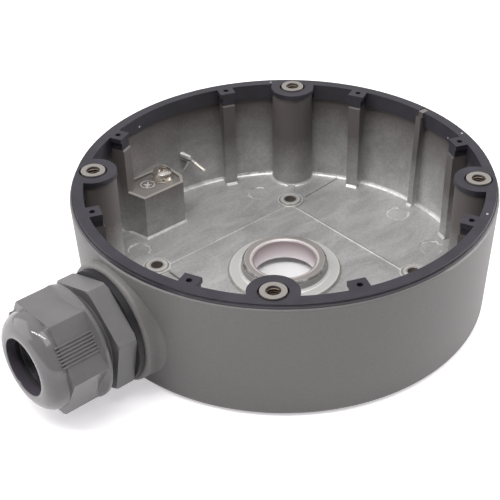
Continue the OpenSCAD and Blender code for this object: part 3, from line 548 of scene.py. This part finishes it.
def moulded(name, dark, light, mottle_mm, roughness, relief, edge_mm, thread=False,
            shaded_opening_radius_mm=None, dusty=False):
    material = new_material(name)
    tree = material.node_tree
    place = add_node(tree, "ShaderNodeTexCoord").outputs["Object"]
    mottle = add_node(tree, "ShaderNodeTexNoise", {
        "Vector": place, "Scale": per_mm(mottle_mm), "Detail": 5.0, "Roughness": 0.55})
    tint = add_node(tree, "ShaderNodeValToRGB", {"Fac": mottle.outputs["Fac"]})
    tint.color_ramp.elements[0].position, tint.color_ramp.elements[1].position = 0.35, 0.65
    tint.color_ramp.elements[0].color = linear(dark)
    tint.color_ramp.elements[1].color = linear(light)
    skin = add_node(tree, "ShaderNodeTexNoise", {
        "Vector": place, "Scale": per_mm(SKIN_MM), "Detail": 2.0, "Roughness": 0.6})
    gloss = add_node(tree, "ShaderNodeMapRange", {
        "Value": mottle.outputs["Fac"], "From Min": 0.3, "From Max": 0.7,
        "To Min": roughness - 0.03, "To Max": roughness + 0.03})
    edges = add_node(tree, "ShaderNodeBevel", {"Radius": edge_mm * MM}, samples=6)
    normal = add_node(tree, "ShaderNodeBump", {
        "Strength": relief, "Distance": 0.03 * MM, "Height": skin.outputs["Fac"],
        "Normal": edges.outputs[0]}).outputs[0]
    if thread:
        normal = nut_thread_relief(tree, place, normal)
    colour = tint.outputs["Color"]
    # the nut's opening gets painted shade
    if shaded_opening_radius_mm:
        colour = painted_shade_in_opening(tree, place, colour, shaded_opening_radius_mm)
    if dusty:
        colour = dust_specks(tree, place, colour)
    shader = add_node(tree, "ShaderNodeBsdfPrincipled", {
        "Base Color": colour, "Roughness": gloss.outputs[0], "Normal": normal})
    add_node(tree, "ShaderNodeOutputMaterial", {"Surface": shader.outputs[0]})
    return material


print("skin texture", SKIN_MM, "mm")

# %% [markdown]
# The nut is the smoothest of the six and the gland's washer the most matt. The seal and that
# washer are almost black, and the clamp's fingers, deep in the gland, a dark grey.

# %% Rubber and plastic finishes
gasket_rubber = moulded("matt_moulded_epdm_rubber", "#2f2d34", "#39363e", 9, 0.36, 0.3, 0.2,
                       dusty=True)
washer_rubber = moulded("black_nitrile_rubber", "#18161a", "#1f1d22", 6, 0.55, 0.3, 0.2)
gland_plastic = moulded("satin_grey_polyamide", "#706f6f", "#797777", 12, 0.4, 0.25, 0.3,
                        thread=True)
# the nut's opening is painted dark, as shade, within 10.7 mm of the axis
nut_plastic = moulded("smooth_grey_polyamide", "#6f6d6e", "#787576", 14, 0.1, 0.08, 0.3,
                     shaded_opening_radius_mm=10.7)
cage_plastic = moulded("dark_grey_polyamide", "#2b2a2f", "#323136", 6, 0.45, 0.2, 0.2)
seal_rubber = moulded("black_moulded_chloroprene_rubber", "#252328", "#2d2b31", 5, 0.5, 0.2, 0.3)
print("moulded:", [m.name for m in (gasket_rubber, washer_rubber, gland_plastic,
                                    nut_plastic, cage_plastic, seal_rubber)])

# %% [markdown]
# ## Plated steel and tapped aluminium
# The ground screw and its washers are steel with a thin nickel plating: a warm, bright metal.
# A metal's colour is its reflection, so the base colour is pale and the roughness low, with a
# slight stain so that it isn't a mirror. The same function makes the threads of the tapped holes:
# aluminium that is darker brown and rougher.

# %% Plated steel material
def worked_metal(name, stained, tint, roughness):
    material = new_material(name)
    tree = material.node_tree
    place = add_node(tree, "ShaderNodeTexCoord").outputs["Object"]
    stain = add_node(tree, "ShaderNodeTexNoise", {
        "Vector": place, "Scale": per_mm(2.2), "Detail": 4.0, "Roughness": 0.6})
    colour = add_node(tree, "ShaderNodeValToRGB", {"Fac": stain.outputs["Fac"]})
    colour.color_ramp.elements[0].position, colour.color_ramp.elements[1].position = 0.3, 0.75
    colour.color_ramp.elements[0].color = linear(stained)
    colour.color_ramp.elements[1].color = linear(tint)
    gloss = add_node(tree, "ShaderNodeMapRange", {
        "Value": stain.outputs["Fac"], "From Min": 0.3, "From Max": 0.7,
        "To Min": roughness, "To Max": roughness + 0.12})
    edges = add_node(tree, "ShaderNodeBevel", {"Radius": 0.15 * MM}, samples=6)
    shader = add_node(tree, "ShaderNodeBsdfPrincipled", {
        "Base Color": colour.outputs["Color"], "Metallic": 1.0,
        "Roughness": gloss.outputs[0], "Normal": edges.outputs[0]})
    add_node(tree, "ShaderNodeOutputMaterial", {"Surface": shader.outputs[0]})
    return material


screw_steel = worked_metal("nickel_plated_steel_screw", "#e9e0d6", "#fdfaf5", 0.2)
washer_steel = worked_metal("nickel_plated_steel_washer", "#ded4c8", "#f8f2ea", 0.25)
spring_steel = worked_metal("nickel_plated_spring_steel", "#efe7de", "#fbf7f2", 0.3)
tapped_metal = worked_metal("dark_brown_tapped_aluminium", "#5f544b", "#a08f80", 0.45)
print("metals:", [m.name for m in (screw_steel, washer_steel, spring_steel, tapped_metal)])

# %% [markdown]
# ## Give each solid its finish
# A imported solid keeps its mesh and only swaps what is in its material slots, so its sizes stay
# as they are.

# %% Assign the materials
finishes = {
    "housing": casting, "rim_gasket": gasket_rubber, "gland_washer": washer_rubber,
    "gland_body": gland_plastic, "clamp_cage": cage_plastic, "cable_seal": seal_rubber,
    "dome_nut": nut_plastic, "ground_screw": screw_steel, "spring_washer": spring_steel,
    "flat_washer": washer_steel,
}
for name, material in finishes.items():
    mesh = nodes[name].data
    mesh.materials.clear()
    mesh.materials.append(material)
print("dressed", len(finishes), "of", len(nodes), "solids")

# %% [markdown]
# ## Screw threads
# A tapped hole is one ridge that winds down its wall. Modelled by hand it would be hundreds of
# faces, but it follows a rule, so Geometry Nodes can make it: a spiral curve, a small pointed
# profile swept along it, and a copy in each hole. The node tree ends by turning the copies into
# real faces and giving them the dark brown metal of a tapped hole.

# %% Thread tree
def thread_tree():
    tree = bpy.data.node_groups.new("tapped_thread", "GeometryNodeTree")
    ports = tree.interface
    ports.new_socket("Geometry", in_out="INPUT", socket_type="NodeSocketGeometry")
    for name, kind in (("Hole Radius", "NodeSocketFloat"), ("Pitch", "NodeSocketFloat"),
                       ("Length", "NodeSocketFloat"), ("Ridge", "NodeSocketFloat"),
                       ("Hole Count", "NodeSocketInt"), ("Circle Radius", "NodeSocketFloat"),
                       ("Bottom", "NodeSocketFloat"), ("Steps", "NodeSocketInt"),
                       ("Finish", "NodeSocketMaterial")):
        ports.new_socket(name, in_out="INPUT", socket_type=kind)
    ports.new_socket("Geometry", in_out="OUTPUT", socket_type="NodeSocketGeometry")
    given = add_node(tree, "NodeGroupInput").outputs
    turns = add_node(tree, "ShaderNodeMath", {0: given["Length"], 1: given["Pitch"]},
                     operation="DIVIDE")
    spiral = add_node(tree, "GeometryNodeCurveSpiral", {
        "Resolution": given["Steps"], "Rotations": turns.outputs[0],
        "Start Radius": given["Hole Radius"], "End Radius": given["Hole Radius"],
        "Height": given["Length"]})
    profile = add_node(tree, "GeometryNodeCurvePrimitiveCircle", {
        "Resolution": 4, "Radius": given["Ridge"]})
    ridge = add_node(tree, "GeometryNodeCurveToMesh", {
        "Curve": spiral.outputs[0], "Profile Curve": profile.outputs[0], "Fill Caps": True})
    holes = add_node(tree, "GeometryNodeMeshCircle", {
        "Vertices": given["Hole Count"], "Radius": given["Circle Radius"]})
    lift = add_node(tree, "ShaderNodeCombineXYZ", {"Z": given["Bottom"]})
    placed = add_node(tree, "GeometryNodeTransform", {
        "Geometry": holes.outputs[0], "Translation": lift.outputs[0],
        "Rotation": (0, 0, math.radians(45))})
    copies = add_node(tree, "GeometryNodeInstanceOnPoints", {
        "Points": placed.outputs[0], "Instance": ridge.outputs[0]})
    real = add_node(tree, "GeometryNodeRealizeInstances", {"Geometry": copies.outputs[0]})
    finished = add_node(tree, "GeometryNodeSetMaterial", {
        "Geometry": real.outputs[0], "Material": given["Finish"]})
    add_node(tree, "NodeGroupOutput", {"Geometry": finished.outputs[0]})
    return tree


tapped = thread_tree()
print(tapped.name, len(tapped.nodes), "nodes")

# %% [markdown]
# The tree is run by a modifier on an empty object. Its sizes are set by the sockets' identifiers,
# and the finished faces are then copied into a plain mesh, which is simpler than a live modifier.
# The ridge lies on the wall of the drilled hole and ends a little below its seat.

# %% Threads in the camera screw holes
def made_by_nodes(name, tree, values):
    carrier = bpy.data.objects.new(name + "_carrier", bpy.data.meshes.new(name + "_seed"))
    scene.collection.objects.link(carrier)
    modifier = carrier.modifiers.new("nodes", "NODES")
    modifier.node_group = tree
    for item in tree.interface.items_tree:
        if item.in_out == "INPUT" and item.name in values:
            modifier[item.identifier] = values[item.name]
    evaluated = carrier.evaluated_get(bpy.context.evaluated_depsgraph_get())
    mesh = bpy.data.meshes.new_from_object(evaluated)
    bpy.data.objects.remove(carrier)
    piece = bpy.data.objects.new(name, mesh)
    mesh.name = name
    scene.collection.objects.link(piece)
    return piece


screw_threads = made_by_nodes("camera_screw_threads", tapped, {
    "Hole Radius": 2.64 * MM, "Pitch": 1.0 * MM, "Length": 17.0 * MM, "Ridge": 0.38 * MM,
    "Hole Count": 4, "Circle Radius": 70.8 * MM, "Bottom": 30.6 * MM, "Steps": 24,
    "Finish": tapped_metal})
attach(screw_threads, "box")
print(screw_threads.name, len(screw_threads.data.polygons), "faces",
      [round(v / MM, 1) for v in screw_threads.dimensions])

# %% [markdown]
# ## The earth symbol
# Next to its screw the ground block carries a raised earth symbol, cast in one with it: a ring
# round a stem and three bars, each shorter than the last. Text would need a font, so the
# symbol is drawn as a ring and four bars of mesh, sunk a little into the block.

# %% Ring, bar and cast piece
def raised_ring(mesh, inner, outer, height, sink, steps=48):
    rows = []
    for radius, z in ((outer, -sink), (outer, height), (inner, height), (inner, -sink)):
        rows.append([mesh.verts.new((
            radius * math.cos(math.tau * i / steps), radius * math.sin(math.tau * i / steps), z))
            for i in range(steps)])
    for k in range(4):
        low, high = rows[k], rows[(k + 1) % 4]
        for i in range(steps):
            j = (i + 1) % steps
            mesh.faces.new((low[i], low[j], high[j], high[i]))


def raised_bar(mesh, offset, width, depth, height, sink):
    size = Matrix.Diagonal((width, depth, height + sink, 1))
    place = Matrix.Translation((0, offset, (height - sink) / 2))
    bmesh.ops.create_cube(mesh, size=1, matrix=place @ size)


def cast_piece(name, shape):
    """An edited mesh turned into a piece with the casting's finish."""
    bmesh.ops.recalc_face_normals(shape, faces=shape.faces)
    mesh = bpy.data.meshes.new(name)
    shape.to_mesh(mesh)
    shape.free()
    mesh.materials.append(casting)
    piece = bpy.data.objects.new(name, mesh)
    scene.collection.objects.link(piece)
    print(name, len(mesh.polygons), "faces", [round(v / MM, 1) for v in piece.dimensions])
    return piece


# %% [markdown]
# The bars are half a millimetre wide and stand 0.3 mm above the block. The symbol is turned so
# that its stem points away from the block's front corner.

# %% Earth symbol
BLOCK_TOP = 23.3 * MM
SYMBOL_PLACE = Matrix.Translation((-18.1 * MM, 62.2 * MM, BLOCK_TOP)) @ Matrix.Rotation(
    math.radians(-45), 4, "Z")
SYMBOL_HEIGHT, SYMBOL_SINK = 0.3 * MM, 0.15 * MM
RING_INNER, RING_OUTER = 2.6 * MM, 2.95 * MM
BAR = 0.5 * MM
BARS_MM = [(-0.2, 3.2), (-1.1, 2.1), (-1.95, 1.0)]    # place along the stem, width
STEM_PLACE, STEM_LENGTH = 1.0 * MM, 2.0 * MM

symbol_mesh = bmesh.new()
raised_ring(symbol_mesh, RING_INNER, RING_OUTER, SYMBOL_HEIGHT, SYMBOL_SINK)
for offset, width in BARS_MM:
    raised_bar(symbol_mesh, offset * MM, width * MM, BAR, SYMBOL_HEIGHT, SYMBOL_SINK)
raised_bar(symbol_mesh, STEM_PLACE, BAR, STEM_LENGTH, SYMBOL_HEIGHT, SYMBOL_SINK)
bmesh.ops.transform(symbol_mesh, matrix=SYMBOL_PLACE, verts=symbol_mesh.verts)
earth_symbol = cast_piece("earth_symbol", symbol_mesh)
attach(earth_symbol, "box")

# %% [markdown]
# ## The fillet at the block's foot
# A die has no sharp inside corners, so a small fillet runs round the foot of the ground block.
# It is a bead of mesh: the block's outline, a wider copy of it, and a sloped face between them.

# %% Block foot
BEAD = 0.9 * MM                     # width and height of the fillet
BLOCK_FOOT = [Vector((x * MM, y * MM)) for x, y in (
    (-28.15, 66.9), (-28.15, 61.3), (-26.15, 53.2), (-6.85, 53.2), (-3.95, 57.7), (-3.95, 72.4))]


def widened(path, distance):
    """The path moved to the right of its direction, with mitred corners."""
    steps = [(end - start).normalized() for start, end in zip(path, path[1:])]
    moved = []
    for point, before, after in zip(path, steps[:1] + steps, steps + steps[-1:]):
        side = Vector((before.y, -before.x))
        mitre = (side + Vector((after.y, -after.x))).normalized()
        moved.append(point + mitre * (distance / mitre.dot(side)))
    return moved


bead_mesh = bmesh.new()
inner, outer = widened(BLOCK_FOOT, -SYMBOL_SINK), widened(BLOCK_FOOT, BEAD)
rows = [[bead_mesh.verts.new((*point, z)) for point in path] for path, z in (
    (inner, FLOOR_Z + BEAD), (outer, FLOOR_Z - SYMBOL_SINK), (inner, FLOOR_Z - SYMBOL_SINK))]
for k in range(3):
    low, high = rows[k], rows[(k + 1) % 3]
    for i in range(len(inner) - 1):
        bead_mesh.faces.new((low[i], low[i + 1], high[i + 1], high[i]))
for end in (0, -1):
    bead_mesh.faces.new([row[end] for row in rows])
foot_fillet = cast_piece("block_foot_fillet", bead_mesh)
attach(foot_fillet, "box")

# %% [markdown]
# ## The floor
# A product picture is cut out on white. On the floor the white is a glow that the camera and
# the reflections see. It isn't more light on the box, so the greys stay as they are written.
# Under the box the glow fades, so the floor keeps a soft shadow. Far out it grows, because
# the lamps don't reach there.

# %% Floor
FLOOR_HALF = 3.0                    # half of its side, in metres
FLOOR_Z_BELOW = -0.2 * MM           # a hair under the box, so that the faces don't touch
SHADE_END, GLOW_FULL = 50 * MM, 72 * MM       # distances from the middle of the box
LAMPLIGHT_END, FAR_OFF = 0.4, 1.5             # the same, in metres


def backdrop_paper():
    material = new_material("white_backdrop_paper")
    tree = material.node_tree
    place = add_node(tree, "ShaderNodeTexCoord").outputs["Object"]
    fibre = add_node(tree, "ShaderNodeTexNoise", {"Vector": place, "Scale": per_mm(3)})
    tone = add_node(tree, "ShaderNodeMapRange", {
        "Value": fibre.outputs["Fac"], "To Min": 0.78, "To Max": 0.82})
    paper = add_node(tree, "ShaderNodeBsdfDiffuse", {"Color": tone.outputs[0]})
    rays = add_node(tree, "ShaderNodeLightPath").outputs
    direct = add_node(tree, "ShaderNodeMath", {
        0: rays["Is Camera Ray"], 1: rays["Is Transmission Ray"]}, operation="MAXIMUM")
    seen = add_node(tree, "ShaderNodeMath", {
        0: direct.outputs[0], 1: rays["Is Glossy Ray"]}, operation="MAXIMUM")
    from_middle = add_node(tree, "ShaderNodeVectorMath", {0: place}, operation="LENGTH")
    clear_of_box = add_node(tree, "ShaderNodeMapRange", {
        "Value": from_middle.outputs["Value"], "From Min": SHADE_END, "From Max": GLOW_FULL,
        "To Min": 0.05, "To Max": 0.5})
    out_of_lamplight = add_node(tree, "ShaderNodeMapRange", {
        "Value": from_middle.outputs["Value"], "From Min": LAMPLIGHT_END, "From Max": FAR_OFF,
        "To Min": 0.0, "To Max": 0.45})
    glow = add_node(tree, "ShaderNodeMath", {
        0: clear_of_box.outputs[0], 1: out_of_lamplight.outputs[0]}, operation="ADD")
    glow_strength = add_node(tree, "ShaderNodeMath", {
        0: seen.outputs[0], 1: glow.outputs[0]}, operation="MULTIPLY")
    lit = add_node(tree, "ShaderNodeEmission", {
        "Color": linear("#fffcff"), "Strength": glow_strength.outputs[0]})
    both = add_node(tree, "ShaderNodeAddShader", {0: paper.outputs[0], 1: lit.outputs[0]})
    add_node(tree, "ShaderNodeOutputMaterial", {"Surface": both.outputs[0]})
    return material


floor_mesh = bpy.data.meshes.new("studio_floor")
floor_mesh.from_pydata([(x * FLOOR_HALF, y * FLOOR_HALF, FLOOR_Z_BELOW)
                        for x, y in ((-1, -1), (1, -1), (1, 1), (-1, 1))], [], [(0, 1, 2, 3)])
floor_mesh.materials.append(backdrop_paper())
floor = bpy.data.objects.new("studio_floor", floor_mesh)
scene.collection.objects.link(floor)
print("floor", FLOOR_HALF * 2, "m wide")

# %% [markdown]
# The sky is a studio in one: bright overhead and behind, dim towards the camera, where a
# photographer stands in an unlit room. That dim side gives a glossy curve its dark band.
# Reflections see this studio, while the camera itself sees plain white.

# %% Sky
SKY_LIGHT = 0.55                    # brightness overhead; the camera sees 1
DIM_SIDE = 0.1                      # what is left of it towards the camera
DIM_STARTS, DIM_ENDS = -0.1, 0.75   # cosines between a direction and the camera's side
world = bpy.data.worlds.new("white_sky")
scene.world = world
world.use_nodes = True
sky = world.node_tree
sky.nodes.clear()
direction = add_node(sky, "ShaderNodeTexCoord").outputs["Generated"]
towards_camera = Vector((camera.location.x, camera.location.y, 0)).normalized()
facing = add_node(sky, "ShaderNodeVectorMath", {0: direction, 1: tuple(towards_camera)},
                  operation="DOT_PRODUCT")
dim = add_node(sky, "ShaderNodeMapRange", {
    "Value": facing.outputs["Value"], "From Min": DIM_STARTS, "From Max": DIM_ENDS,
    "To Min": SKY_LIGHT, "To Max": SKY_LIGHT * DIM_SIDE}, interpolation_type="SMOOTHSTEP")
rays = add_node(sky, "ShaderNodeLightPath").outputs
seen = add_node(sky, "ShaderNodeMath", {
    0: rays["Is Camera Ray"], 1: rays["Is Transmission Ray"]}, operation="MAXIMUM")
strength = add_node(sky, "ShaderNodeMix", {0: seen.outputs[0], 2: dim.outputs[0], 3: 1.0},
                    data_type="FLOAT")
backdrop = add_node(sky, "ShaderNodeBackground", {
    "Color": (1, 1, 1, 1), "Strength": strength.outputs[0]})
add_node(sky, "ShaderNodeOutputWorld", {"Surface": backdrop.outputs[0]})
print("sky light", SKY_LIGHT)

# %% [markdown]
# ## Four lamps
# Large lamps make soft light. One above and in front lights the casting's fillets, and adds to
# the bright lines that are painted on them. One low on the right brightens the faces on that
# side, and one behind on the left keeps the back from going black. A long thin strip gives the
# glossy nut its narrow highlight.

# %% Lamps
LAMP_AIM = Vector((0, 0, 20 * MM))


def softbox(name, place, length, width, power, along=(1, 0, 0)):
    lamp = bpy.data.lights.new(name, "AREA")
    lamp.shape = "RECTANGLE"
    lamp.size, lamp.size_y = length, width
    lamp.energy = power
    lamp_object = bpy.data.objects.new(name, lamp)
    scene.collection.objects.link(lamp_object)
    back = (Vector(place) - LAMP_AIM).normalized()
    side = (Vector(along) - back * back.dot(Vector(along))).normalized()
    lamp_object.location = place
    lamp_object.rotation_euler = Matrix((side, back.cross(side), back)).transposed().to_euler()
    return lamp_object


lamps = [
    softbox("overhead_softbox", (-0.16, -0.24, 1.0), 0.6, 0.6, 4.1),
    softbox("right_softbox", (0.92, -0.25, 0.33), 0.5, 0.5, 7.2),
    softbox("left_strip", (-0.43, 0.02, 0.95), 0.9, 0.03, 4.4, along=(0.56, -0.65, 0.2)),
    softbox("back_left_softbox", (-0.8, 0.85, 0.45), 1.2, 1.0, 6.5),
]
print("lamps:", [(lamp.name, lamp.data.energy) for lamp in lamps])

# %% [markdown]
# ## View settings
# The Standard view shows each colour as it was written.

# %% Finish
scene.view_settings.view_transform = "Standard"
